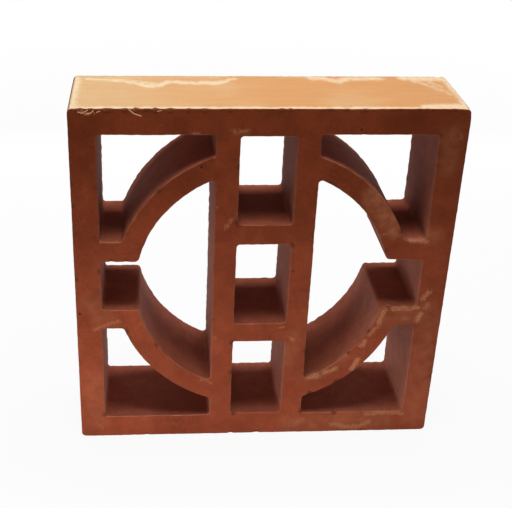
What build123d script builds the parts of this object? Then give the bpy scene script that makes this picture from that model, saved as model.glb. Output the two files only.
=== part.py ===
from build123d import *
import os

# A clay ventilation block, pressed and fired as one piece. Millimetres.
# Frame: origin at the middle of the bed face, +X along the width, +Z up,
# and the two pattern faces towards -Y and +Y.

# Outside of the block
width = 200.0
height = 200.0
thickness = 50.0

# Outer walls. The bed wall is a little thicker over the column than over the corner cells.
side_wall = 14.2
bed_wall = 13.9
column_bed_wall = 14.7

# Column up the middle: two upright bars joined by two rungs, which leave three cells
column_width = 52.6
column_bar = 11.9
middle_cell_height = 49.0
rung_height = 11.6

# Ring, which stands clear of the nearest outer walls by the gap,
# and the rails that tie it to the side walls above and below each slot
ring_gap = 6.9
ring_wall = 11.4
slot_height = 29.6
rail_height = 11.8

# Rounded corners of the moulded clay, and its arris: the eased edge round each pattern face
block_corner_radius = 2.5
cell_corner_radius = 1.8
ring_tip_radius = 2.4
arris = 1.0

inner_x = width / 2 - side_wall
inner_z = height / 2 - bed_wall
column_inner_z = height / 2 - column_bed_wall
column_x = column_width / 2
cell_x = column_x - column_bar
end_cell_z = middle_cell_height / 2 + rung_height
slot_z = slot_height / 2
rail_z = slot_z + rail_height
ring_outer_radius = min(inner_x, inner_z) - ring_gap
ring_inner_radius = ring_outer_radius - ring_wall

# The pattern is drawn about the middle of the block and runs right through it.
middle = Plane(origin=(0, 0, height / 2), x_dir=(1, 0, 0), z_dir=(0, -1, 0))

# Corner cells: a rectangle with the ring's outside taken out of it, in each quarter
with BuildSketch() as corner_cells:
    with Locations((column_x, rail_z)):
        Rectangle(inner_x - column_x, inner_z - rail_z, align=(Align.MIN, Align.MIN))
    Circle(ring_outer_radius, mode=Mode.SUBTRACT)
    fillet(corner_cells.vertices(), cell_corner_radius)
    mirror(about=Plane.YZ)
    mirror(about=Plane.XZ)

# Side cells: the ring's inside beside the column, opened by a slot out to the side wall
with BuildSketch() as side_cells:
    Circle(ring_inner_radius)
    split(bisect_by=Plane.YZ.offset(column_x), keep=Keep.TOP)
    with Locations((column_x, 0)):
        Rectangle(inner_x - column_x, slot_height, align=(Align.MIN, Align.CENTER))
    ring_tips = side_cells.vertices().group_by(Axis.X)[1]
    fillet(ring_tips, ring_tip_radius)
    cell_ends = side_cells.vertices().group_by(Axis.X)
    fillet(cell_ends[0] + cell_ends[-1], cell_corner_radius)
    mirror(about=Plane.YZ)

# Column cells: one between the rungs, one above them and one below
with BuildSketch() as column_cells:
    RectangleRounded(2 * cell_x, middle_cell_height, cell_corner_radius)
    with Locations((0, (end_cell_z + column_inner_z) / 2)):
        RectangleRounded(2 * cell_x, column_inner_z - end_cell_z, cell_corner_radius)
    mirror(about=Plane.XZ)

with BuildPart() as breeze_block:
    with BuildSketch(middle):
        RectangleRounded(width, height, block_corner_radius)
    extrude(amount=thickness / 2, both=True)
    with BuildSketch(middle):
        add(corner_cells.sketch)
        add(side_cells.sketch)
        add(column_cells.sketch)
    extrude(amount=thickness / 2, both=True, mode=Mode.SUBTRACT)
    pattern_faces = breeze_block.faces().filter_by(Axis.Y)
    chamfer(pattern_faces.edges(), arris)

breeze_block.part.label = "breeze_block"

os.makedirs("parts", exist_ok=True)
export_step(breeze_block.part, "parts/breeze_block.step")
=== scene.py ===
"""Looks of the terracotta breeze block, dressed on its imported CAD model.

Blender's own units are metres. Sizes and places on the block are written in millimetres,
in the block's frame: x along the width, y from the front pattern face to the back one,
z up from the bed face that it stands on, with x = y = 0 at the middle.
"""
import math

import bmesh
import bpy
import numpy as np
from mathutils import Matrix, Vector, geometry, kdtree, noise

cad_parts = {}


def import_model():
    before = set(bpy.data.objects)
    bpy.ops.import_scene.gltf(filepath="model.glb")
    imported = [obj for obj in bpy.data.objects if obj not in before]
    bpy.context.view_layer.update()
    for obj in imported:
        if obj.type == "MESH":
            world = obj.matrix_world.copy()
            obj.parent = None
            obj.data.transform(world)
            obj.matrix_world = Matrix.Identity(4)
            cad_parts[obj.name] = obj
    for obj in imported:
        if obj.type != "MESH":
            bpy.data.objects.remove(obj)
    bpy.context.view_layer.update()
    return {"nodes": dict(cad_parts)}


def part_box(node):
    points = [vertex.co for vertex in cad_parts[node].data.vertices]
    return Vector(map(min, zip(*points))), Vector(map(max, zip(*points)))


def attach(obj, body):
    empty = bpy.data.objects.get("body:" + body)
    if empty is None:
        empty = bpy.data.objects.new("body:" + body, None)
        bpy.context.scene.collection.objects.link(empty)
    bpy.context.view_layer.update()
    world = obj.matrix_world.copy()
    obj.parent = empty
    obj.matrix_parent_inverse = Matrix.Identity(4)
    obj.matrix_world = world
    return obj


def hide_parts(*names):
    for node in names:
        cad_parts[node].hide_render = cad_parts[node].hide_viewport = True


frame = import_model()

MM = 0.001
NODE = "breeze_block"
SEED = 11

# Fineness of the dressed mesh: spacing along the outlines and on the pattern faces, the least gap
# between the two, and rows of points round an arris and across a wall
outer_step = 0.9
cell_step = 1.35
front_step = 1.25
back_step = 1.7
face_clearance = 0.8
arris_rows = 4
outer_wall_rows = 22
cell_wall_rows = 8

# Points closer than this are one: vertices of the CAD block in metres, points of a pattern face
same_vertex = 1e-6
same_point = 1e-6

# Reading the CAD outline: the least turn at a real corner, and how many times longer than the chord
# of a rounded corner a straight run is
corner_turn = 0.004
straight_run = 2.5

# Arris: how far the worn edge reaches from the corner, how much that varies and over what length
arris_size = 0.45
arris_least = 0.18
arris_drift = 0.15
arris_drift_size = 14
arris_rag = 0.2
back_rag = 0.4
arris_rag_size = 2.6

# Strip beside an arris, on the face and on the wall, that keeps the arris's shading off them
arris_guard = 0.3

# Unevenness of the walls: heights and sizes of the broad and middle waves, then of the fine ones,
# which fade out inwards from the mouths
wall_broad = 0.16
wall_broad_size = 24
wall_middle = 0.07
wall_middle_size = 7
front_fine = 0.16
back_fine_outer = 0.16
back_fine_cell = 0.34
wall_fine_size = 2.8
mouth_reach = 5.0

# An outer wall only sinks: its share of the waves, and its mean depth
outer_share = 0.6
outer_depth = 0.04

# Worn upper right corner of the front: depth and size
corner_wear = 0.5
corner_wear_size = 4.0

# Unevenness of the pattern faces: mean depth, heights and sizes of the waves, and how far inwards
# the walls follow the face
face_depth = 0.1
face_broad = 0.1
face_broad_size = 30
face_fine = 0.05
face_fine_size = 8
face_reach = 4.0

# How far from a mouth the points of a pattern face follow its wear
pull_reach = 5.0

# How far the cores sat to one side of the middle when the block was pressed
core_drift = -0.5

# How far apart the waves of two seeds lie in the noise, along each axis
seed_steps = (7.31, 3.17, 5.59)


def block_size():
    """Lowest and highest corner of the CAD block in millimetres"""
    low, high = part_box(NODE)
    return np.array(low) / MM, np.array(high) / MM


LOW, HIGH = block_size()
FRONT, BACK = LOW[1], HIGH[1]


def waves(points, size, seed):
    """Smooth values from about -1 to 1 at the points, with bumps about size across"""
    start = Vector([seed * step for step in seed_steps])
    return np.array([noise.noise(Vector(p) / size + start) for p in points])


def fade(distance, reach):
    """1 at no distance, smoothly down to 0 at the reach"""
    t = np.clip(1 - distance / reach, 0, 1)
    return t * t * (3 - 2 * t)


def from_left(vertex):
    """Sorts the vertices of the cut by x, then by z"""
    return round(vertex.co.x, 6), round(vertex.co.z, 6)


def cut_outlines(cad):
    """Closed outlines of the CAD block half way through its thickness, as corner points (x, z)"""
    bm = bmesh.new()
    bm.from_mesh(cad.data)
    bmesh.ops.remove_doubles(bm, verts=bm.verts, dist=same_vertex)
    everything = bm.verts[:] + bm.edges[:] + bm.faces[:]
    cut = bmesh.ops.bisect_plane(bm, geom=everything, plane_co=(0, 0, 0), plane_no=(0, 1, 0))
    beside = {}
    for edge in cut["geom_cut"]:
        if isinstance(edge, bmesh.types.BMEdge):
            a, b = edge.verts
            beside.setdefault(a, []).append(b)
            beside.setdefault(b, []).append(a)
    outlines = []
    while beside:
        start = min(beside, key=from_left)
        walk = [start]
        step = min(beside.pop(start), key=from_left)
        while step is not start:
            ahead = [v for v in beside.pop(step) if v is not walk[-1]]
            walk.append(step)
            step = ahead[0]
        outlines.append(np.array([(v.co.x, v.co.z) for v in walk]) / MM)
    bm.free()
    return [turned_to_solid(without_straight_points(o), o is largest(outlines)) for o in outlines]


def area_of(outline):
    """Area inside an outline, positive where it runs anticlockwise seen from the front"""
    x, z = outline.T
    return 0.5 * float(np.sum(x * np.roll(z, -1) - np.roll(x, -1) * z))


def largest(outlines):
    """The outline with the most area: the outside of the block"""
    return max(outlines, key=lambda o: abs(area_of(o)))


def turned_to_solid(outline, is_outside):
    """The outline run so that the clay is on its left"""
    return outline if (area_of(outline) > 0) == is_outside else outline[::-1]


def without_straight_points(outline):
    """The outline without the points that lie on a straight line between their neighbours"""
    ahead = np.roll(outline, -1, 0) - outline
    behind = outline - np.roll(outline, 1, 0)
    turn = np.abs(ahead[:, 0] * behind[:, 1] - ahead[:, 1] * behind[:, 0])
    turn /= np.linalg.norm(ahead, axis=1) * np.linalg.norm(behind, axis=1)
    return outline[turn > corner_turn]


def curved_outline(corners, step):
    """Points no further apart than step, on smooth curves through the corner points"""
    chord = np.roll(corners, -1, 0) - corners
    ahead = np.linalg.norm(chord, axis=1)
    behind = np.roll(ahead, 1)
    heading = chord / ahead[:, None]
    # A straight run that meets the short chord of a rounded corner keeps its heading.
    leaves_corner = ahead > straight_run * behind
    meets_corner = behind > straight_run * ahead
    share = np.where(leaves_corner, 1.0, np.where(meets_corner, 0.0, 0.5))[:, None]
    tangent = share * heading + (1 - share) * np.roll(heading, 1, 0)
    tangent /= np.linalg.norm(tangent, axis=1)[:, None]
    points = []
    for i, (start, end) in enumerate(zip(corners, np.roll(corners, -1, 0))):
        leave, arrive = tangent[i] * ahead[i], tangent[(i + 1) % len(corners)] * ahead[i]
        count = math.ceil(ahead[i] / step)
        for t in np.arange(count) * (1 / count):
            points.append(
                (2 * t**3 - 3 * t**2 + 1) * start + (t**3 - 2 * t**2 + t) * leave
                + (3 * t**2 - 2 * t**3) * end + (t**3 - t**2) * arrive
            )
    return np.array(points)


def outward(outline):
    """Unit directions out of the clay along an outline that has the clay on its left"""
    along = np.roll(outline, -1, 0) - np.roll(outline, 1, 0)
    along /= np.linalg.norm(along, axis=1)[:, None]
    return np.stack([along[:, 1], -along[:, 0]], 1)


# Chips in the top arris of the front pattern face: its height, then x, radius and bite of each
top_arris = 200.0
front_chips = [
    (-94.0, 3.2, 1.4),
    (-88.5, 2.2, 1.1),
    (-80.5, 4.0, 1.5),
    (-72.0, 2.4, 1.2),
    (-66.5, 3.0, 1.5),
    (-57.0, 2.6, 1.3),
    (-50.0, 3.4, 1.4),
    (-41.0, 2.0, 1.0),
    (-33.0, 3.0, 1.0),
    (-21.0, 2.2, 0.9),
    (4.5, 2.8, 1.0),
    (9.0, 1.8, 0.8),
    (46.0, 2.4, 0.6),
    (77.0, 2.0, 0.6),
]

# Small chips anywhere along the arrises: how many, and the ranges of radius and bite
random_chips = 90
chip_radius = (1.5, 3.0)
chip_bite = (0.15, 0.7)

# Broken face of a chip: how ragged it is and over what length, and how hollow
chip_rag = 0.5
chip_rag_size = 1.3
chip_hollow = 1.3


def chips(outlines, random):
    """Every chip as place (x, y, z), radius and bite: those listed, then small ones anywhere"""
    made = [((x, FRONT, top_arris), radius, bite) for x, radius, bite in front_chips]
    line = np.concatenate([curved_outline(o, cell_step) for o in outlines])
    for x, z in line[random.integers(len(line), size=random_chips)]:
        side = random.choice((FRONT, BACK))
        made.append(((x, side, z), random.uniform(*chip_radius), random.uniform(*chip_bite)))
    return made


class Wall:
    """One outline swept through the thickness, with a worn arris at each pattern face"""

    def __init__(self, corners, is_outside, knocks):
        self.is_outside = is_outside
        self.line = curved_outline(corners, outer_step if is_outside else cell_step)
        self.wall_rows = outer_wall_rows if is_outside else cell_wall_rows
        if not is_outside:
            self.line = self.line + (core_drift, 0)
        self.out = outward(self.line)
        self.count = len(self.line)
        self.wear = {side: self.worn(side, knocks) for side in (FRONT, BACK)}

    def at(self, y):
        """The outline's points at depth y"""
        return np.stack([self.line[:, 0], np.full(self.count, y), self.line[:, 1]], 1)

    def worn(self, side, knocks):
        """How far the wear reaches from the corner, and how flat it is, at each point of one arris"""
        places = self.at(side)
        rag = back_rag if side == BACK else arris_rag
        reach = arris_size + arris_drift * waves(places, arris_drift_size, seed=1)
        reach = np.maximum(reach + rag * waves(places, arris_rag_size, seed=2), arris_least)
        flat = np.zeros(self.count)
        for place, radius, bite in knocks:
            share = fade(np.linalg.norm(places - np.array(place), axis=1), radius)
            reach += bite * share * (1 + chip_rag * waves(places, chip_rag_size, seed=3))
            flat = np.maximum(flat, share)
        return reach, flat

    def rows(self):
        """Rows of points from the front pattern face to the back one"""
        turns = np.linspace(0, 1, arris_rows)
        front = [self.arris_row(FRONT, 1, u) for u in turns]
        back = [self.arris_row(BACK, -1, u) for u in turns[::-1]]
        front = [self.guard_row(front[0]), *front]
        back = [*back, self.guard_row(back[-1])]
        guard = arris_guard / (BACK - FRONT)
        shares = [guard, *np.linspace(0, 1, self.wall_rows + 2)[1:-1], 1 - guard]
        middle = [front[-1] * (1 - s) + back[0] * s for s in shares]
        return np.array(front + middle + back)

    def guard_row(self, row):
        """Points just inside the pattern face, that keep the arris's shading off it"""
        inner = row.copy()
        inner[:, [0, 2]] -= self.out * arris_guard
        return inner

    def share(self):
        """For each point, how far it is from the pattern face (0) to the wall (1)"""
        turns = np.linspace(0, 1, arris_rows)
        across = np.concatenate([[0], turns, np.ones(self.wall_rows + 2), turns[::-1], [0]])
        return np.repeat(across, self.count)

    def bare(self):
        """For each point, how much of a chip's broken face it is part of"""
        edge = arris_rows + 1
        front, back = (np.tile(self.wear[side][1], edge) for side in (FRONT, BACK))
        return np.concatenate([front, np.zeros((self.wall_rows + 2) * self.count), back])

    def arris_row(self, side, inward, u):
        """The arris's points a share u of the way from the pattern face to the wall"""
        reach, flat = self.wear[side]
        angle = u * math.pi / 2
        inset = reach * ((1 - flat) * (1 - math.sin(angle)) + flat * (1 - u) ** chip_hollow)
        depth = reach * ((1 - flat) * (1 - math.cos(angle)) + flat * u ** chip_hollow)
        row = self.at(side)
        row[:, [0, 2]] -= self.out * inset[:, None]
        row[:, 1] += inward * depth
        return row


def wall_wobble(points, is_outside):
    """How far out of the clay each wall point stands; an outer wall only sinks"""
    wobble = wall_broad * waves(points, wall_broad_size, seed=4)
    wobble += wall_middle * waves(points, wall_middle_size, seed=5)
    fine = front_fine * fade(points[:, 1] - FRONT, mouth_reach)
    fine += (back_fine_outer if is_outside else back_fine_cell) * fade(BACK - points[:, 1], mouth_reach)
    wobble += fine * waves(points, wall_fine_size, seed=6)
    if is_outside:
        corner = np.linalg.norm(points - np.array((HIGH[0], FRONT, HIGH[2])), axis=1)
        worn = corner_wear * np.exp(-((corner / corner_wear_size) ** 2))
        return np.minimum(outer_share * wobble - outer_depth, 0) - worn
    return wobble


def face_sink(points):
    """How far the pattern faces sink below flat"""
    sink = face_depth + face_broad * waves(points, face_broad_size, seed=7)
    return np.maximum(sink + face_fine * waves(points, face_fine_size, seed=8), 0)


def inside(points, outlines):
    """Which points (x, z) lie in the clay: inside an odd number of the outlines"""
    crossings = np.zeros(len(points), int)
    x, z = points.T
    for outline in outlines:
        for (x1, z1), (x2, z2) in zip(outline, np.roll(outline, -1, 0)):
            if z1 != z2:
                spans = (z1 > z) != (z2 > z)
                crossings += spans & (x < x1 + (z - z1) * (x2 - x1) / (z2 - z1))
    return crossings % 2 == 1


def face_points(outlines, step):
    """A triangular grid of points over the clay, clear of the outlines"""
    pitch = step * math.sqrt(3) / 2
    grid = []
    for row, z in enumerate(np.arange(LOW[2], HIGH[2], pitch)):
        for x in np.arange(LOW[0] + (row % 2) * step / 2, HIGH[0], step):
            grid.append((x, z))
    grid = np.array(grid)
    grid = grid[inside(grid, outlines)]
    lines = np.concatenate(outlines)
    tree = kdtree.KDTree(len(lines))
    for i, (x, z) in enumerate(lines):
        tree.insert((x, z, 0), i)
    tree.balance()
    near = [tree.find((x, z, 0)) for x, z in grid]
    distance = np.array([n[2] for n in near])
    nearest = np.array([n[1] for n in near])
    clear = distance > face_clearance
    return grid[clear], nearest[clear], distance[clear]


def face_triangles(outlines, grid):
    """Triangles of the pattern face over the outlines' points, then the grid's"""
    points = np.concatenate([*outlines, grid])
    edges = []
    first = 0
    for outline in outlines:
        count = len(outline)
        edges += [(first + i, first + (i + 1) % count) for i in range(count)]
        first += count
    made = geometry.delaunay_2d_cdt([Vector(p) for p in points], edges, [], 0, same_point)
    places, triangles, came_from = np.array([tuple(v) for v in made[0]]), np.array(made[2]), made[3]
    index = np.array([c[0] for c in came_from])
    middles = places[triangles].mean(1)
    return index[triangles[inside(middles, outlines)]]


def wall_surfaces(walls):
    """Points, quads and parts of all walls, and the points of their mouths in each pattern face"""
    points, quads, parts = [], [], []
    mouths = {FRONT: [], BACK: []}
    first = 0
    for wall in walls:
        rows = wall.rows()
        flat_rows = rows.reshape(-1, 3)
        out = np.tile(wall.out, (len(rows), 1))
        flat_rows[:, [0, 2]] += out * wall_wobble(flat_rows, wall.is_outside)[:, None]
        index = first + np.arange(len(flat_rows)).reshape(len(rows), wall.count)
        ahead = np.roll(index, -1, 1)
        strip = np.stack([index[:-1], index[1:], ahead[1:], ahead[:-1]], -1)
        quads.append(strip.reshape(-1, 4))
        points.append(flat_rows)
        mouths[FRONT].append(index[0])
        mouths[BACK].append(index[-1])
        first += len(flat_rows)
        flag = np.full(len(out), float(wall.is_outside))
        parts.append(np.stack([wall.share(), out[:, 0], out[:, 1], flag, wall.bare()], 1))
    mouths = {side: np.concatenate(found) for side, found in mouths.items()}
    return np.concatenate(points), np.concatenate(quads), np.concatenate(parts), mouths


def face_surface(side, step, nominal, wall_points, mouth, first):
    """Points of one pattern face, which follow the wear of its mouths, and its triangles"""
    grid, nearest, distance = face_points(nominal, step)
    moved = wall_points[mouth][:, [0, 2]] - np.concatenate(nominal)
    x, z = (grid + moved[nearest] * fade(distance, pull_reach)[:, None]).T
    index = np.concatenate([mouth, first + np.arange(len(grid))])
    return np.stack([x, np.full(len(grid), side), z], 1), index[face_triangles(nominal, grid)]


def dressed_mesh(cad):
    """The block's mesh with worn arrises and uneven faces, and what each vertex is part of"""
    corners = cut_outlines(cad)
    outside = largest(corners)
    knocks = chips(corners, np.random.default_rng(SEED))
    walls = [Wall(c, c is outside, knocks) for c in corners]
    nominal = [w.line - w.out * (arris_size + arris_guard) for w in walls]

    points, quads, parts, mouths = wall_surfaces(walls)
    first = len(points)
    front, front_faces = face_surface(FRONT, front_step, nominal, points, mouths[FRONT], first)
    first += len(front)
    back, back_faces = face_surface(BACK, back_step, nominal, points, mouths[BACK], first)
    points = np.concatenate([points, front, back])
    parts = np.concatenate([parts, np.zeros((len(front) + len(back), parts.shape[1]))])

    depth = np.minimum(points[:, 1] - FRONT, BACK - points[:, 1])
    points[:, 1] -= np.sign(points[:, 1]) * face_sink(points) * fade(depth, face_reach)

    mesh = bpy.data.meshes.new("dressed_block")
    triangles = np.concatenate([front_faces, back_faces[:, ::-1]])
    mesh.from_pydata((points * MM).tolist(), [], quads.tolist() + triangles.tolist())
    mesh.update()
    mesh.shade_smooth()
    return mesh, points, parts


# Cream scum on the top bed face, and a painted highlight along its front edge: places (x, y) along each
# streak, half width and strength
bed_scum_and_edge_highlight = [
    ([(-92, 19), (-84, 18), (-73, 15), (-64.5, 11), (-58, 7)], 1.5, 0.95),
    ([(-79, 18.5), (-70, 17), (-61, 13.5), (-54, 10.5)], 1.2, 0.8),
    ([(-64, 10), (-58, 7.5), (-54.5, 9.5), (-51.5, 13)], 2.6, 0.95),
    ([(-52, 13.4), (-45, 13), (-35, 12), (-25, 14.4), (-19, 17.6), (-15, 20)], 1.9, 0.8),
    ([(-50, 15.5), (-42, 14.5), (-37, 14)], 2.2, 0.9),
    ([(-33, 14.5), (-26, 12.5), (-21, 15)], 2.4, 0.9),
    ([(-97, 23), (-60, 22), (-20, 23)], 2.5, 0.35),
    ([(26, 22), (34, 20), (40, 16), (44, 20), (52, 21), (62, 21)], 3.4, 0.8),
    ([(10, 23), (30, 23.5)], 1.6, 0.4),
    ([(76, 22), (84, 21), (92, 21), (99, 21)], 4.0, 0.85),
    ([(80, 17), (85, 12), (90, 6), (94, -3)], 2.4, 0.55),
    ([(88, 15), (93, 9)], 1.8, 0.6),
    ([(99, 24), (99, 0), (99, -24)], 3.0, 0.95),
    ([(78, -22), (86, -21), (98, -21)], 3.4, 0.9),
    ([(-99, -24), (-98.5, 0), (-98, 20)], 3.2, 0.85),
    # A cream line along the top front edge: scum there, brightened as a painted highlight of the edge
    ([(-100, -24.3), (-40, -24.2), (20, -24.4), (100, -24.2)], 1.8, 1.2),
]

# Cream rubs on the front pattern face: places (x, z) along each rub, half width and strength
face_rubs = [
    ([(29, 39), (34, 40)], 2.2, 0.7),
    ([(38, 42), (42, 43.5), (44, 45)], 1.8, 0.8),
    ([(49, 53), (51, 54.5)], 1.3, 0.4),
    ([(53, 44), (54.5, 47.5), (56, 51)], 1.5, 0.95),
    ([(57.5, 60), (59, 62.5)], 1.8, 0.8),
    ([(61, 67), (63, 70), (65, 72.5)], 1.6, 0.6),
    ([(65.5, 75), (66.5, 80), (67.5, 83)], 1.7, 0.8),
    ([(68, 84), (76, 83.6), (86, 84)], 1.4, 0.75),
    ([(88, 90), (91, 95)], 1.8, 0.7),
    ([(91.5, 87), (90, 84)], 1.6, 0.55),
    ([(88, 80), (86.5, 76)], 2.0, 0.75),
    ([(78, 77), (80, 78)], 1.6, 0.4),
    ([(64, 12.2), (75, 12.6), (86, 12)], 1.3, 0.75),
    ([(46, 5), (53, 3.2), (61, 3.2), (66, 6.5)], 2.2, 0.7),
    ([(27, 9), (24, 7)], 2.0, 0.45),
    ([(17, 66), (19, 64.5)], 1.2, 0.6),
    ([(10, 73), (13, 73.2)], 1.0, 0.6),
    ([(-33, 39), (-26, 36.5)], 1.0, 0.6),
    ([(-25.5, 67), (-25, 66)], 1.2, 0.55),
    ([(-53, 8.2), (-43, 8)], 1.2, 0.4),
    ([(-64, 12), (-62, 12.5)], 1.3, 0.35),
    ([(-88, 5.5), (-88.5, 7)], 1.1, 0.5),
    ([(-91, 10), (-90, 11)], 1.2, 0.35),
    ([(-91, 73), (-84, 76), (-77, 78)], 1.4, 0.55),
    ([(-66, 77), (-68, 73)], 1.2, 0.4),
    ([(-93, 198.6), (-90, 197.4), (-86.5, 197.4)], 0.8, 0.9),
    ([(-39, 187), (-35, 187.4)], 1.0, 0.6),
    ([(-55, 191), (-54, 192)], 1.3, 0.3),
    ([(-18, 187.6), (-12, 188)], 2.0, 0.5),
    ([(-27, 156), (-26, 157)], 1.2, 0.4),
    ([(-26, 145), (-25.5, 147)], 1.3, 0.4),
    ([(-19, 138), (-18, 140)], 1.4, 0.55),
    ([(-21, 134.5), (-20, 136)], 1.5, 0.55),
    ([(-16, 140), (-15.5, 143)], 1.2, 0.4),
    ([(-68, 140), (-67, 142)], 1.4, 0.45),
    ([(-86, 126.6), (-77, 126.6)], 1.1, 0.45),
    ([(96, 187), (96.5, 184)], 1.5, 0.4),
    ([(77, 126.4), (86, 125.6)], 1.4, 0.85),
    ([(84, 122), (83.5, 120)], 1.4, 0.35),
    ([(61, 129), (63, 130)], 1.6, 0.45),
    ([(66, 131), (68, 131)], 1.6, 0.35),
]

# Pale curls and hairs of clay on the pattern face under its top arris: places (x, y, z), half width
edge_curls = [
    ([(-94.5, -25, 198.2), (-92.5, -25, 197.6), (-90.0, -25, 199.0)], 0.26),
    ([(-90.5, -25, 197.3), (-88.5, -25, 197.6), (-87.0, -25, 199.0)], 0.26),
    ([(-85.5, -25, 198.0), (-84.0, -25, 198.7)], 0.24),
    ([(-69.8, -25, 199.4), (-67.4, -25, 197.4), (-64.0, -25, 196.2)], 0.28),
    ([(-56.0, -25, 198.6), (-54.0, -25, 199.0)], 0.24),
]

# Deep pores, dark with painted shade: place and radius
deep_pores = [
    ((-98.1, -25, 83.2), 0.8),
    ((-34.1, -25, 168.9), 0.9),
    ((45.2, -25, 189.0), 0.8),
    ((15.8, -25, 108.4), 0.7),
    ((91.5, -25, 95.9), 0.8),
    ((-52.0, 20, 25.0), 0.8),
    ((-30.0, 25, 152.0), 0.8),
    ((62.0, 25, 190.0), 0.9),
]

# Faint haze of cream dust on the front pattern face: places (x, z), half width and strength
face_haze = [
    ([(55, 152), (61, 143), (68, 134)], 5.0, 0.40),
    ([(75, 131), (90, 129)], 4.0, 0.25),
    ([(91, 186), (92, 168)], 4.5, 0.18),
    ([(16, 50), (19, 66)], 4.5, 0.24),
    ([(-92, 90), (-84, 78)], 5.0, 0.18),
    ([(-92, 40), (-91, 8)], 5.0, 0.18),
    ([(20, 6), (50, 7), (75, 7)], 5.0, 0.26),
    ([(30, 40), (48, 52)], 4.5, 0.20),
    ([(66, 76), (80, 79), (92, 84)], 4.5, 0.22),
    ([(94, 78), (92, 10)], 6.0, 0.18),
]

# Rubs on the sides that the photograph hides: how many for each square millimetre, and the ranges
# of length, half width and strength
rubs_per_area = 0.0012
rub_length = (2, 9)
rub_half_width = (0.8, 2.0)
rub_strength = (0.3, 0.8)

# How far rubs and scum waver to either side, and over what length
waver = 0.9
waver_size = 3.2

# How deep behind a face its rubs still mark the arris and the walls
face_band = 2.5

# How far an outer wall may turn from facing up, down or sideways and still be a bed face or a head,
# and a cell's wall from facing sideways and still be a side
outer_turn = 0.4
side_turn = 0.2

# Edge of the bed faces' skin and the heads' colour on the arris: where it starts, how wide it is,
# how ragged it is and over what length, and how far a chip drives it back
skin_start = 0.35
skin_width = 0.2
skin_rag = 0.2
skin_rag_size = 2.2
skin_loss = 0.5

# Patches on the heads: their mean, then heights and sizes of the broad and the small ones
head_mean = 0.5
head_broad = 0.3
head_broad_size = 26
head_small = 0.2
head_small_size = 7

# Paleness of a worn arris that does not face up, and the painted highlight that facing up adds
arris_level = 0.4
arris_painted_highlight = 0.7


def stroke(points, path, half_width, strength):
    """How strongly a stroke along the path marks each point, from 0 to its strength"""
    nearest = np.full(len(points), np.inf)
    for start, end in zip(path[:-1], path[1:]):
        start, run = np.array(start, float), np.subtract(end, start).astype(float)
        share = np.clip((points - start) @ run / (run @ run), 0, 1)
        nearest = np.minimum(nearest, np.linalg.norm(points - start - share[:, None] * run, axis=1))
    return strength * fade(nearest, 2 * half_width)


def marks(points, strokes, depth):
    """The strongest mark of any stroke at each point; the strokes' outlines waver a little"""
    places = np.column_stack([points, depth])
    points = points + waver * np.stack([waves(places, waver_size, seed) for seed in (31, 32)], 1)
    made = np.zeros(len(points))
    for path, half_width, strength in strokes:
        made = np.maximum(made, stroke(points, path, half_width, strength))
    return made


def random_rubs(random, count, low, high):
    """Short rubs in random places of a face between two corners"""
    made = []
    for _ in range(round(count)):
        start = random.uniform(low, high)
        heading = random.uniform(0, math.tau)
        end = start + random.uniform(*rub_length) * np.array([math.cos(heading), math.sin(heading)])
        made.append(([start, end], random.uniform(*rub_half_width), random.uniform(*rub_strength)))
    return made


def attribute(mesh, name, values):
    """Stores one number for each vertex under a name that the material reads"""
    mesh.attributes.new(name, "FLOAT", "POINT").data.foreach_set("value", values.astype(np.float32))


def rubs(points, on_front):
    """Rubs listed for the front pattern face, and random ones on the back and both heads"""
    made = on_front * marks(points[:, [0, 2]], face_rubs, points[:, 1])
    random = np.random.default_rng(SEED + 1)
    hidden_faces = (
        (0, points[:, 1] > BACK - face_band),
        (1, points[:, 0] < LOW[0] + face_band),
        (1, points[:, 0] > HIGH[0] - face_band),
    )
    for across, face in hidden_faces:
        low, high = LOW[[across, 2]], HIGH[[across, 2]]
        strokes = random_rubs(random, rubs_per_area * np.prod(high - low), low, high)
        made = np.maximum(made, face * marks(points[:, [across, 2]], strokes, points[:, 1 - across]))
    return made


def add_attributes(mesh, points, parts):
    """What the material needs to know of each place, as one number from about 0 to 1 for each layer"""
    wall_share, out_x, out_z, outside, bare = parts.T
    on_bed = outside * fade(1 - np.abs(out_z), outer_turn)
    on_head = outside * fade(1 - np.abs(out_x), outer_turn)
    ragged = wall_share + skin_rag * waves(points, skin_rag_size, seed=21) - skin_loss * bare
    on_wall = np.clip((ragged - skin_start) / skin_width, 0, 1)
    attribute(mesh, "skin", np.clip(on_bed * on_wall, 0, 1))
    patchy = head_mean + head_broad * waves(points, head_broad_size, seed=22)
    patchy += head_small * waves(points, head_small_size, seed=23)
    attribute(mesh, "head", on_head * on_wall * patchy)
    # Chips' broken faces, which take a painted shadow
    attribute(mesh, "chip", bare)

    on_top = on_bed * (out_z > 0) * (wall_share == 1)
    attribute(mesh, "scum", on_top * marks(points[:, [0, 1]], bed_scum_and_edge_highlight, points[:, 2]))
    on_front = (points[:, 1] < FRONT + face_band) * (1 - on_bed * (wall_share > 0.5))
    attribute(mesh, "rub", rubs(points, on_front))
    attribute(mesh, "haze", on_front * marks(points[:, [0, 2]], face_haze, points[:, 1]))

    # Paleness of worn arrises, with a painted highlight added where they face up
    arris_wear_and_highlight = arris_level + arris_painted_highlight * np.maximum(out_z, 0)
    attribute(mesh, "arris", (1 - np.abs(2 * wall_share - 1)) * (1 - bare) * arris_wear_and_highlight * (1 - on_bed))
    # Share of cell surface, which takes the cells' painted sheen
    cell = (1 - outside) * np.clip(wall_share * 2, 0, 1)
    attribute(mesh, "cell", cell)
    # The cells' upright sides, which take painted shade above and painted sheen below
    attribute(mesh, "side", cell * fade(1 - np.abs(out_x), side_turn))


# Camera: place in metres, turn in degrees, lens and sensor in millimetres, shifts in sensor widths
camera_place = (-0.05989, -0.47252, 0.36654)
camera_turn = (62.597, -1.309, -3.389)
camera_lens = 68.650
camera_sensor = 36
camera_shift_x = 0.0859
camera_shift_y = -0.0487


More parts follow.
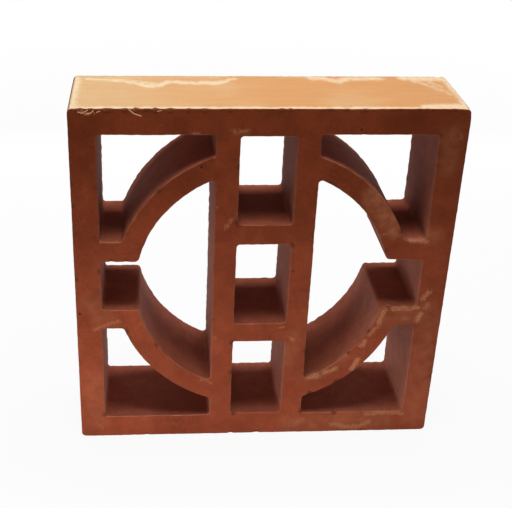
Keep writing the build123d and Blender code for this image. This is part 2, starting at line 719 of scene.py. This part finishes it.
def camera():
    """The photograph's viewpoint"""
    data = bpy.data.cameras.new("camera")
    data.sensor_width = camera_sensor
    data.lens = camera_lens
    data.shift_x = camera_shift_x
    data.shift_y = camera_shift_y
    made = bpy.data.objects.new("camera", data)
    made.location = camera_place
    made.rotation_euler = [math.radians(a) for a in camera_turn]
    bpy.context.scene.collection.objects.link(made)
    bpy.context.scene.camera = made


# Colours of the fired clay, with painted shade, light and sheen among them, as linear light
clay_deep = (0.263, 0.054, 0.0223, 1)
clay_warm = (0.358, 0.076, 0.0317, 1)
# Painted shade towards the top and painted light towards the foot, which the clay's colour is
# multiplied by
painted_shade_above = (0.620, 0.600, 0.500, 1)
painted_light_below = (1.060, 1.140, 1.300, 1)
# In the cells instead: the clay's own red, paler and greyer as painted sheen, more so towards the
# bottom
cell_painted_sheen_above = (1.000, 1.320, 1.680, 1)
cell_painted_sheen_below = (0.980, 1.360, 1.950, 1)
head_orange = (0.400, 0.130, 0.060, 1)
# Cells' upright sides: painted shade towards the top, a greyish-pink painted sheen towards the bottom
cell_side_painted_shade = (0.105, 0.042, 0.031, 1)
cell_side_painted_sheen = (0.520, 0.230, 0.165, 1)
skin_orange = (0.420, 0.209, 0.087, 1)
skin_pale = (0.445, 0.302, 0.160, 1)
scum_and_edge_highlight_cream = (0.545, 0.430, 0.290, 1)
rub_cream = (0.580, 0.256, 0.128, 1)
curl_pale = (0.950, 0.540, 0.300, 1)
# Pale worn arrises, paler where they face up as a painted highlight
arris_pale_and_highlight = (0.560, 0.228, 0.120, 1)
# Painted shadow in the chips' broken faces
chip_painted_shadow = (0.085, 0.024, 0.012, 1)
# Painted shade in the pores
pore_painted_shade = (0.030, 0.008, 0.004, 1)


# Soft edges: how much of a spot, dot or scratch is full, how far out a scratch ends, and the size
# of the smallest spot next to the largest
spot_core = 0.4
dot_core = 0.5
scratch_core = 0.5
scratch_edge = 1.3
least_spot = 0.4

# Further off, in millimetres, than any place on the block
far_off = 1000.0


class Painter:
    """Adds nodes to a material; an input is given a plain value or another node's output"""

    def __init__(self, name):
        self.material = bpy.data.materials.new(name)
        self.material.use_nodes = True
        self.tree = self.material.node_tree
        self.shader = self.tree.nodes["Principled BSDF"]
        coordinates = self.tree.nodes.new("ShaderNodeTexCoord")
        self.place = self.vector("MULTIPLY", coordinates.outputs["Object"], (1 / MM,) * 3)

    def give(self, socket, value):
        """Links or sets one input"""
        if isinstance(value, bpy.types.NodeSocket):
            self.tree.links.new(value, socket)
        else:
            socket.default_value = value

    def vector(self, operation, a, b):
        """A sum or product of two vectors"""
        node = self.tree.nodes.new("ShaderNodeVectorMath")
        node.operation = operation
        self.give(node.inputs[0], a)
        self.give(node.inputs[1], b)
        return node.outputs[0]

    def math(self, operation, a, b=0.0, clamp=False):
        """A sum, product or other operation on two numbers"""
        node = self.tree.nodes.new("ShaderNodeMath")
        node.operation = operation
        node.use_clamp = clamp
        self.give(node.inputs[0], a)
        self.give(node.inputs[1], b)
        return node.outputs[0]

    def span(self, value, low, high, to_low=0.0, to_high=1.0):
        """The value taken smoothly from the range low..high to another range"""
        node = self.tree.nodes.new("ShaderNodeMapRange")
        node.interpolation_type = "SMOOTHSTEP"
        for name, given in (("Value", value), ("From Min", low), ("From Max", high),
                            ("To Min", to_low), ("To Max", to_high)):
            self.give(node.inputs[name], given)
        return node.outputs["Result"]

    def noise(self, size, detail=2.0, rough=0.5, stretch=(1, 1, 1), shift=(0, 0, 0)):
        """Cloudy values about 0.5, with clouds about size millimetres across"""
        place = self.vector("MULTIPLY", self.place, tuple(1 / s for s in stretch))
        place = self.vector("ADD", place, shift)
        node = self.tree.nodes.new("ShaderNodeTexNoise")
        self.give(node.inputs["Vector"], place)
        self.give(node.inputs["Scale"], 1 / size)
        self.give(node.inputs["Detail"], detail)
        self.give(node.inputs["Roughness"], rough)
        return node.outputs["Fac"]

    def spots(self, pitch, radius, share, shift=(0, 0, 0)):
        """Small round spots on a random lattice: 1 at each spot's middle"""
        node = self.tree.nodes.new("ShaderNodeTexVoronoi")
        self.give(node.inputs["Vector"], self.vector("ADD", self.place, shift))
        self.give(node.inputs["Scale"], 1 / pitch)
        split = self.tree.nodes.new("ShaderNodeSeparateColor")
        self.give(split.inputs[0], node.outputs["Color"])
        chosen = self.math("LESS_THAN", split.outputs[0], share)
        size = self.span(split.outputs[1], 0.0, 1.0, least_spot * radius / pitch, radius / pitch)
        near = self.math("DIVIDE", node.outputs["Distance"], size)
        return self.math("MULTIPLY", chosen, self.span(near, 1.0, spot_core))

    def dot(self, place, radius):
        """1 at a place, down to 0 at the radius"""
        node = self.tree.nodes.new("ShaderNodeVectorMath")
        node.operation = "DISTANCE"
        self.give(node.inputs[0], self.place)
        self.give(node.inputs[1], place)
        return self.span(node.outputs["Value"], radius, dot_core * radius)

    def scratch(self, path, half_width):
        """1 along a thin path, down to 0 beside it"""
        least = far_off
        for start, end in zip(path[:-1], path[1:]):
            start, run = Vector(start), Vector(end) - Vector(start)
            along = self.vector("SUBTRACT", self.place, start)
            share = self.tree.nodes.new("ShaderNodeVectorMath")
            share.operation = "DOT_PRODUCT"
            self.give(share.inputs[0], along)
            self.give(share.inputs[1], run / run.length_squared)
            near = self.scaled(run, self.math("ADD", share.outputs["Value"], 0.0, clamp=True))
            away = self.tree.nodes.new("ShaderNodeVectorMath")
            away.operation = "DISTANCE"
            self.give(away.inputs[0], along)
            self.give(away.inputs[1], near)
            least = self.math("MINIMUM", away.outputs["Value"], least)
        return self.span(least, scratch_edge * half_width, scratch_core * half_width)

    def coordinate(self, axis):
        """The place in millimetres along one axis"""
        split = self.tree.nodes.new("ShaderNodeSeparateXYZ")
        self.give(split.inputs[0], self.place)
        return split.outputs[axis]

    def attribute(self, name):
        """A number stored on the mesh"""
        node = self.tree.nodes.new("ShaderNodeAttribute")
        node.attribute_name = name
        return node.outputs["Fac"]

    def layer(self, name, share):
        """A number stored on the mesh, times how strongly that layer covers the clay"""
        return self.math("MULTIPLY", self.attribute(name), share)

    def mix(self, share, a, b, blend="MIX"):
        """Colour a changed to b by the share"""
        node = self.tree.nodes.new("ShaderNodeMix")
        node.data_type = "RGBA"
        node.blend_type = blend
        # Sockets 6 and 7 and output 2 are the ones for colours.
        self.give(node.inputs[0], share)
        self.give(node.inputs[6], a)
        self.give(node.inputs[7], b)
        return node.outputs[2]

    def scaled(self, vector, factor):
        """A vector or colour times a number"""
        node = self.tree.nodes.new("ShaderNodeVectorMath")
        node.operation = "SCALE"
        self.give(node.inputs[0], vector)
        self.give(node.inputs["Scale"], factor)
        return node.outputs[0]

    def varied(self, colour, cloud, spread, strength):
        """A colour lightened and darkened by the strength where the cloud is the spread off 0.5"""
        level = self.span(cloud, 0.5 - spread, 0.5 + spread, 1 - strength, 1 + strength)
        return self.scaled(colour, level)


# Heights between which the clay's painted shade at the top turns to painted light at the foot
tint_top = 215.0
tint_foot = -15.0

# Unevenness of the clay's colour: sizes of its patches, clouds and grain, and how far the last two
# lighten and darken it
patch_size = 34
cloud_size = 7
cloud_strength = 0.12
grain_size = 0.8
grain_strength = 0.14

# The same for the skin of the bed faces, with lines drawn lengthwise in the place of clouds
skin_patch_size = 30
drawn_size = 3.0
drawn_length = 7
drawn_strength = 0.03
skin_grain_size = 0.9
skin_grain_strength = 0.05

# Places along the width between which the skin turns pale, how pale, and what its patches add
pale_start = 20.0
pale_end = -110.0
pale_share = 0.75
patch_share = 0.35

# Sizes of the noise that breaks up the pale arrises, the haze, the rubs twice over, and the scum
arris_patch_size = 6
haze_cloud_size = 5
rub_break_size = 1.3
rub_speckle_size = 0.7
scum_break_size = 2.5

# Flecks of dust and small pores: how far apart, how large, and how many of them are there
fleck_pitch = 4.5
fleck_radius = 0.7
fleck_count = 0.12
pore_pitch = 9.0
pore_radius = 0.8
pore_count = 0.35

# How strongly each layer covers the clay
# How much painted shade and sheen the cells' upright sides take
painted_side_light_share = 0.5
fleck_share = 0.35
head_share = 0.8
# How strongly the painted shadow darkens the chips
chip_shadow_share = 0.75
scum_share = 0.9
# How strongly the painted shade darkens the pores
pore_shade_share = 0.8

# Surface: roughness and gloss, the bump of the grain, and how many times its height a pore sinks
clay_roughness = 0.75
clay_gloss = 0.06
bump_size = 0.7
bump_strength = 0.5
bump_depth = 0.25
pore_sink = -1.5


def clay_colour(paint):
    """Fired clay: warm and deep patches, painted shade above and painted light below, a paler, greyer
    painted sheen in the cells, painted shade and sheen on their sides, fine grain
    """
    patches = paint.span(paint.noise(patch_size, detail=2), low=0.25, high=0.75)
    colour = paint.mix(patches, clay_deep, clay_warm)
    down = paint.span(paint.coordinate(2), tint_top, tint_foot)
    cell_painted_sheen = paint.mix(down, cell_painted_sheen_above, cell_painted_sheen_below)
    # The clay's colour times painted shade above and painted light below, or the cells' painted sheen
    painted_light_tint = paint.mix(paint.attribute("cell"), paint.mix(down, painted_shade_above, painted_light_below), cell_painted_sheen)
    colour = paint.mix(1.0, colour, painted_light_tint, blend="MULTIPLY")
    # Painted shade above and painted sheen below on the cells' upright sides
    painted_side_light = paint.mix(down, cell_side_painted_shade, cell_side_painted_sheen)
    colour = paint.mix(paint.layer("side", painted_side_light_share), colour, painted_side_light)
    clouds = paint.noise(cloud_size, detail=4, rough=0.6, shift=(31, 7, 3))
    colour = paint.varied(colour, clouds, spread=0.25, strength=cloud_strength)
    grain = paint.noise(grain_size, detail=3, rough=0.7)
    return paint.varied(colour, grain, spread=0.25, strength=grain_strength)


def skin_colour(paint):
    """The paler skin of the bed faces, drawn lengthwise"""
    lengthwise = (drawn_length, 1, drawn_length)
    drawn = paint.noise(drawn_size, detail=4, rough=0.6, stretch=lengthwise, shift=(5, 0, 0))
    patches = paint.noise(skin_patch_size, detail=3, rough=0.55, shift=(3, 60, 9))
    leftward = paint.span(paint.coordinate(0), pale_start, pale_end)
    pale = paint.math("MULTIPLY", leftward, pale_share)
    patchy = paint.span(patches, low=0.45, high=0.75, to_high=patch_share)
    pale = paint.math("ADD", pale, patchy)
    colour = paint.mix(pale, skin_orange, skin_pale)
    colour = paint.varied(colour, drawn, spread=0.2, strength=drawn_strength)
    grain = paint.noise(skin_grain_size, detail=2, rough=0.7)
    return paint.varied(colour, grain, spread=0.3, strength=skin_grain_strength)


def broken(paint, name, size, low, high):
    """A mark stored on the mesh, broken up by noise"""
    cloud = paint.noise(size, detail=4, rough=0.65, shift=(17, 3, 11))
    cloud = paint.math("SUBTRACT", cloud, 0.5)
    return paint.span(paint.math("ADD", paint.attribute(name), cloud), low, high)


def dusted(paint, colour):
    """The clay with pale arrises, worn and with a painted highlight where they face up, and with cream
    haze, rubs and flecks
    """
    patches = paint.noise(arris_patch_size, detail=3)
    patchy = paint.span(patches, low=0.3, high=0.65, to_low=0.15, to_high=0.95)
    # Arrises pale from wear, and paler where they face up as a painted highlight
    arris = paint.span(paint.attribute("arris"), low=0.2, high=0.9)
    colour = paint.mix(paint.math("MULTIPLY", arris, patchy), colour, arris_pale_and_highlight)
    clouds = paint.noise(haze_cloud_size, detail=3, shift=(6, 1, 8))
    cloudy = paint.span(clouds, low=0.3, high=0.7, to_low=0.3)
    colour = paint.mix(paint.layer("haze", cloudy), colour, rub_cream)
    grain = paint.noise(rub_speckle_size, detail=3, rough=0.7, shift=(2, 9, 4))
    speckle = paint.span(grain, low=0.35, high=0.62, to_low=0.25, to_high=0.9)
    rub = broken(paint, "rub", rub_break_size, low=0.2, high=0.85)
    colour = paint.mix(paint.math("MULTIPLY", rub, speckle), colour, rub_cream)
    flecks = paint.spots(fleck_pitch, fleck_radius, fleck_count, shift=(40, 8, 5))
    return paint.mix(paint.math("MULTIPLY", flecks, fleck_share), colour, rub_cream)


def skinned(paint, colour):
    """The clay with its heads and the skin of its bed faces, the painted shadow in its chips, and the
    scum and curls on them
    """
    colour = paint.mix(paint.layer("head", head_share), colour, head_orange)
    colour = paint.mix(paint.attribute("skin"), colour, skin_colour(paint))
    # Painted shadow in the chips
    colour = paint.mix(paint.layer("chip", chip_shadow_share), colour, chip_painted_shadow)
    scum = broken(paint, "scum", scum_break_size, low=0.15, high=1.0)
    # Cream scum, and the painted highlight along the top front edge
    colour = paint.mix(paint.math("MULTIPLY", scum, scum_share), colour, scum_and_edge_highlight_cream)
    for path, half_width in edge_curls:
        colour = paint.mix(paint.scratch(path, half_width), colour, curl_pale)
    return colour


def all_pores(paint):
    """1 in each pore: small ones anywhere, and the deep ones that are listed"""
    pores = paint.spots(pore_pitch, pore_radius, pore_count)
    for place, radius in deep_pores:
        pores = paint.math("MAXIMUM", pores, paint.dot(place, radius))
    return pores


def grain_bump(paint, pores):
    """The bump of the grain, with the pores sunk in it"""
    grain = paint.noise(bump_size, detail=4, rough=0.65)
    bump = paint.tree.nodes.new("ShaderNodeBump")
    sunk = paint.math("MULTIPLY", pores, pore_sink)
    paint.give(bump.inputs["Height"], paint.math("ADD", grain, sunk))
    paint.give(bump.inputs["Strength"], bump_strength)
    paint.give(bump.inputs["Distance"], bump_depth * MM)
    return bump.outputs[0]


def terracotta():
    """The whole material"""
    paint = Painter("terracotta")
    colour = skinned(paint, dusted(paint, clay_colour(paint)))
    pores = all_pores(paint)
    # Painted shade in the pores
    colour = paint.mix(paint.math("MULTIPLY", pores, pore_shade_share), colour, pore_painted_shade)
    paint.give(paint.shader.inputs["Base Color"], colour)
    paint.give(paint.shader.inputs["Roughness"], clay_roughness)
    paint.give(paint.shader.inputs["Specular IOR Level"], clay_gloss)
    paint.give(paint.shader.inputs["Normal"], grain_bump(paint, pores))
    return paint.material


# Light: a plain sky, two soft boxes overhead, low warm fills in front and a low bounce behind.
# Each light has its power, its place, the target that it faces and its size, in metres.
sky_level = 0.082
rear_box_power = 4.0
rear_box_place = (0, 0.10, 0.80)
rear_box_target = (0, 0.02, 0.2)
rear_box_size = (0.34, 0.17)
front_box_power = 3.0
front_box_place = (-0.05, -0.105, 0.80)
front_box_target = (0, 0.0, 0.2)
front_box_size = (0.34, 0.17)
fill_power = 0.215
fill_place = (-0.05, -0.23, 0.02)
fill_target = (-0.02, -0.025, 0.05)
fill_size = (0.34, 0.05)
corner_power = 0.045
corner_place = (-0.15, -0.15, 0.02)
corner_target = (-0.09, -0.025, 0.05)
corner_size = (0.06, 0.06)
fill_colour = (1.0, 0.90, 0.82)
back_power = 1.5
back_place = (0.0, 0.45, 0.10)
back_target = (0, 0, 0.09)
back_size = (1.0, 0.12)
back_colour = (0.97, 0.92, 1.0)


def world():
    """White to the camera and to reflections, and a plain level of light all round"""
    made = bpy.data.worlds.new("world")
    bpy.context.scene.world = made
    made.use_nodes = True
    tree = made.node_tree
    back = tree.nodes["Background"]
    back.inputs["Color"].default_value = (1, 1, 1, 1)
    level = tree.nodes.new("ShaderNodeMapRange")
    level.inputs["To Min"].default_value = sky_level
    level.inputs["To Max"].default_value = 1.0
    tree.links.new(seen_directly(tree), level.inputs["Value"])
    tree.links.new(level.outputs[0], back.inputs["Strength"])


def seen_directly(tree):
    """1 for the rays that show the background: from the camera, by reflection or through glass"""
    path = tree.nodes.new("ShaderNodeLightPath")
    most = path.outputs["Is Camera Ray"]
    for name in ("Is Glossy Ray", "Is Transmission Ray"):
        node = tree.nodes.new("ShaderNodeMath")
        node.operation = "MAXIMUM"
        tree.links.new(most, node.inputs[0])
        tree.links.new(path.outputs[name], node.inputs[1])
        most = node.outputs[0]
    return most


def area_light(name, place, target, size, power, colour=(1, 1, 1)):
    """An area light that faces a target, hidden from the camera and from reflections"""
    data = bpy.data.lights.new(name, "AREA")
    data.shape = "RECTANGLE"
    data.size, data.size_y = size
    data.energy = power
    data.color = colour
    made = bpy.data.objects.new(name, data)
    made.location = place
    made.rotation_euler = (Vector(target) - Vector(place)).to_track_quat("-Z", "Y").to_euler()
    made.visible_camera = False
    made.visible_glossy = False
    bpy.context.scene.collection.objects.link(made)


def lights():
    """The sky and every area light"""
    world()
    area_light("rear_box", rear_box_place, rear_box_target, rear_box_size, rear_box_power)
    area_light("front_box", front_box_place, front_box_target, front_box_size, front_box_power)
    area_light("low_fill", fill_place, fill_target, fill_size, fill_power, fill_colour)
    area_light("corner_fill", corner_place, corner_target, corner_size, corner_power, fill_colour)
    area_light("back_bounce", back_place, back_target, back_size, back_power, back_colour)


# Floor: its size in metres, its grey and its roughness, how white the camera sees it beside the
# block, and the distances in metres between which that turns to plain white
floor_size = 12
floor_grey = 0.6
floor_roughness = 0.9
floor_white_share = 0.93
floor_fade_start = 0.15
floor_fade_end = 0.9


def floor_white(tree):
    """How white the camera sees each place of the floor"""
    place = tree.nodes.new("ShaderNodeNewGeometry")
    away = tree.nodes.new("ShaderNodeVectorMath")
    away.operation = "LENGTH"
    tree.links.new(place.outputs["Position"], away.inputs[0])
    share = tree.nodes.new("ShaderNodeMapRange")
    share.interpolation_type = "SMOOTHSTEP"
    share.inputs["From Min"].default_value = floor_fade_start
    share.inputs["From Max"].default_value = floor_fade_end
    share.inputs["To Min"].default_value = floor_white_share
    share.inputs["To Max"].default_value = 1.0
    tree.links.new(away.outputs["Value"], share.inputs["Value"])
    scale = tree.nodes.new("ShaderNodeMath")
    scale.operation = "MULTIPLY"
    tree.links.new(share.outputs[0], scale.inputs[1])
    tree.links.new(seen_directly(tree), scale.inputs[0])
    return scale.outputs[0]


def floor_material():
    """A plain pale grey; the camera sees it nearly white, with the block's soft shadow"""
    material = bpy.data.materials.new("floor")
    material.use_nodes = True
    tree = material.node_tree
    shader = tree.nodes["Principled BSDF"]
    shader.inputs["Base Color"].default_value = (floor_grey,) * 3 + (1,)
    shader.inputs["Roughness"].default_value = floor_roughness
    shader.inputs["Specular IOR Level"].default_value = 0.0
    white = tree.nodes.new("ShaderNodeEmission")
    mixer = tree.nodes.new("ShaderNodeMixShader")
    tree.links.new(floor_white(tree), mixer.inputs[0])
    tree.links.new(shader.outputs[0], mixer.inputs[1])
    tree.links.new(white.outputs[0], mixer.inputs[2])
    tree.links.new(mixer.outputs[0], tree.nodes["Material Output"].inputs["Surface"])
    return material


def floor():
    """The floor that the block stands on"""
    bpy.ops.mesh.primitive_plane_add(size=floor_size, location=(0, 0, 0))
    made = bpy.context.object
    made.name = "floor"
    made.data.materials.append(floor_material())


mesh, points, parts = dressed_mesh(frame["nodes"][NODE])
add_attributes(mesh, points, parts)
block = bpy.data.objects.new("dressed_block", mesh)
bpy.context.scene.collection.objects.link(block)
mesh.materials.append(terracotta())
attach(block, "root")
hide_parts(NODE)
camera()
lights()
floor()
bpy.context.scene.view_settings.view_transform = "Standard"
